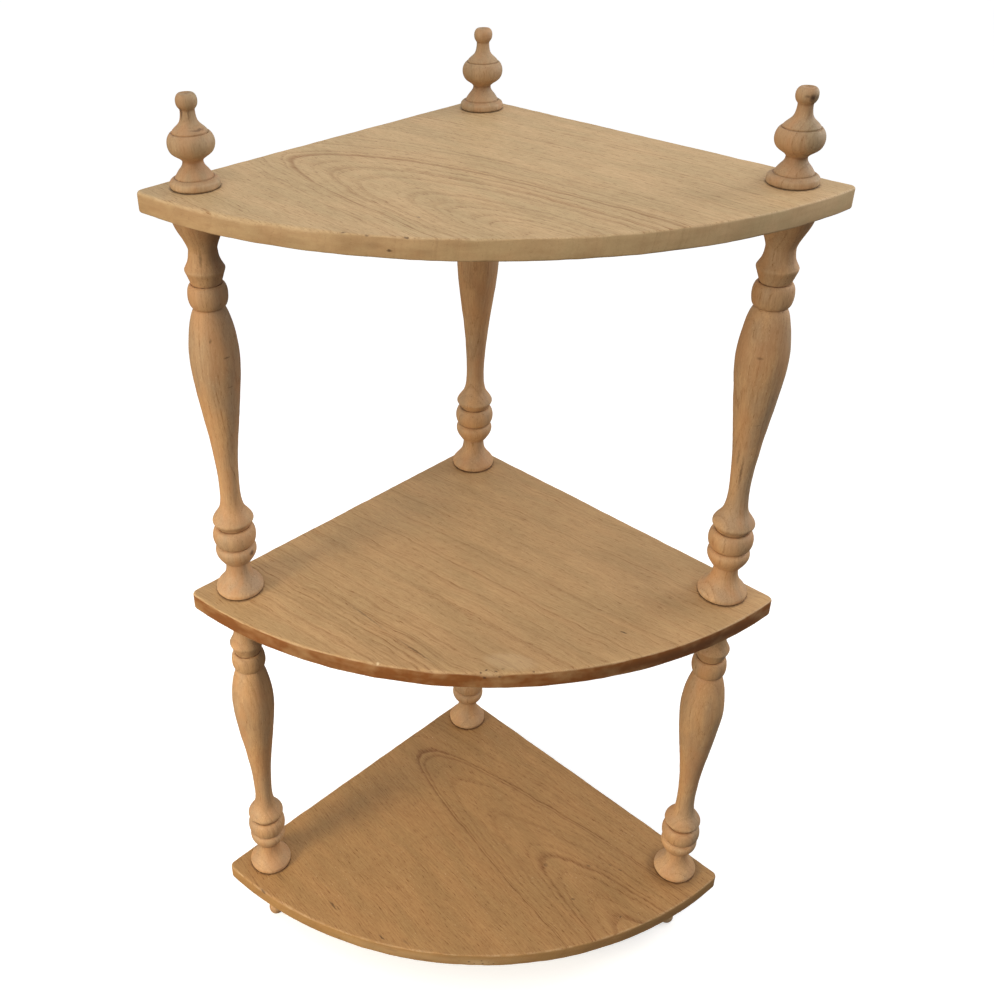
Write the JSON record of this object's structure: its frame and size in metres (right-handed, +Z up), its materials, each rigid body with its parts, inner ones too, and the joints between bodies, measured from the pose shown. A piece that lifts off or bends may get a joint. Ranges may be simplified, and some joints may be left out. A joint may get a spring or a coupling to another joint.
{
  "type": "corner shelf",
  "caption": "Free-standing corner shelf: quarter-round wooden boards in tiers on turned spindles, with turned finials above and turned feet below.",
  "frame": {"origin": "on the floor, at the middle of the shelf's outline seen from above", "axes": "+Z up, the curved front faces -Y, the back corner points to +Y, +X to the right of someone who faces the shelf"},
  "size_m": [0.4896, 0.3432, 0.853],
  "materials": {
    "sanded_board": "bare sanded ring-porous hardwood board, open pores",
    "turned_wood": "bare sanded turned hardwood, remains of old reddish finish in the grooves",
    "dowel_wood": "plain smooth dowel rod"
  },
  "bodies": {
    "root": {"bottom_shelf": "sanded_board", "middle_shelf": "sanded_board", "top_shelf": "sanded_board", "foot_left": "turned_wood", "foot_right": "turned_wood", "foot_back": "turned_wood", "lower_spindle_left": "turned_wood", "lower_spindle_right": "turned_wood", "lower_spindle_back": "turned_wood", "upper_spindle_left": "turned_wood", "upper_spindle_right": "turned_wood", "upper_spindle_back": "turned_wood", "finial_left": "turned_wood", "finial_right": "turned_wood", "finial_back": "turned_wood", "foot_pin_left": "dowel_wood", "foot_pin_right": "dowel_wood", "foot_pin_back": "dowel_wood", "middle_pin_left": "dowel_wood", "middle_pin_right": "dowel_wood", "middle_pin_back": "dowel_wood", "top_pin_left": "dowel_wood", "top_pin_right": "dowel_wood", "top_pin_back": "dowel_wood"}
  },
  "joints": []
}
